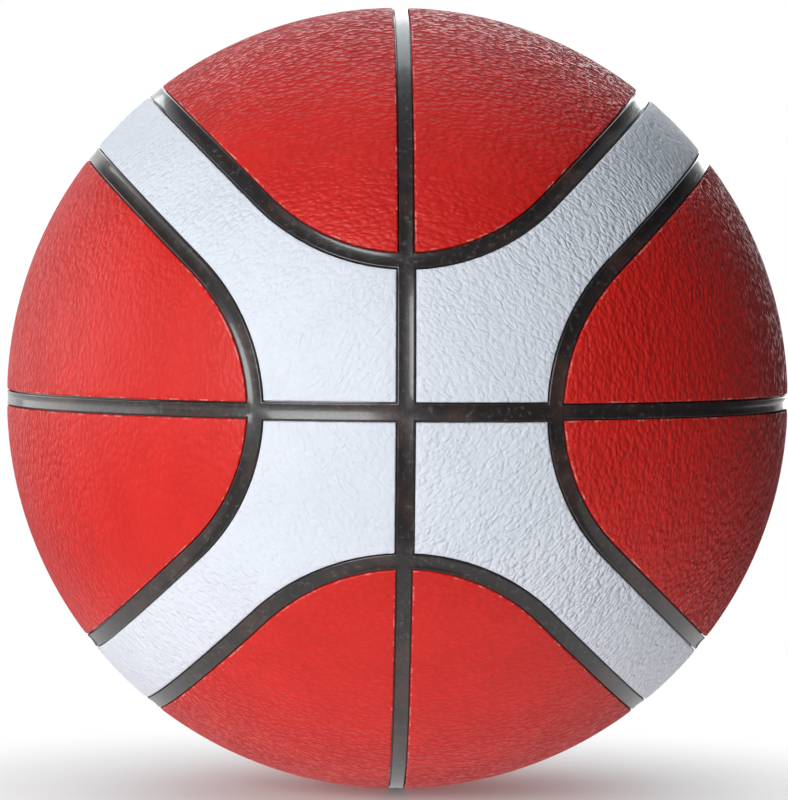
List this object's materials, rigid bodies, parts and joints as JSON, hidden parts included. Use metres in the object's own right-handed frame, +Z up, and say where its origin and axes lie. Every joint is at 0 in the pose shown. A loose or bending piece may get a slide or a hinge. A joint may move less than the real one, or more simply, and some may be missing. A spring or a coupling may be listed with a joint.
{
  "type": "basketball",
  "caption": "Round two-tone basketball: leather cover panels bonded between moulded rubber ribs, over a wound air bladder, with a needle valve at the rear rib crossing.",
  "frame": {"origin": "centre of the ball", "axes": "+Z up; +Y along the pole axis, from the front crossing of the straight ribs to the valve at the rear crossing"},
  "size_m": [0.242, 0.2418, 0.242],
  "materials": {
    "white_cover": "white grained composite leather",
    "red_cover": "red grained composite leather",
    "rib_rubber": "dark moulded rubber, satin",
    "thread": "wound nylon thread, latex set",
    "bladder_rubber": "black butyl rubber",
    "valve_rubber": "soft dark rubber",
    "patch_rubber": "dense dark rubber"
  },
  "bodies": {
    "ball": {"white_panel_upper_right": "white_cover", "white_panel_lower_right": "white_cover", "white_panel_lower_left": "white_cover", "white_panel_upper_left": "white_cover", "red_panel_top_right": "red_cover", "red_panel_top_left": "red_cover", "red_panel_right_lower": "red_cover", "red_panel_right_upper": "red_cover", "red_panel_bottom_left": "red_cover", "red_panel_bottom_right": "red_cover", "red_panel_left_upper": "red_cover", "red_panel_left_lower": "red_cover", "carcass": "rib_rubber", "thread_winding": "thread", "bladder": "bladder_rubber", "valve_housing": "valve_rubber", "balance_patch": "patch_rubber"},
    "valve_plug": {"valve_plug": "valve_rubber"}
  },
  "joints": [
    {"name": "plug_slide", "type": "slide", "parent": "ball", "child": "valve_plug", "axis": [0, 1, 0], "range_m": [0, 0.025]}
  ]
}
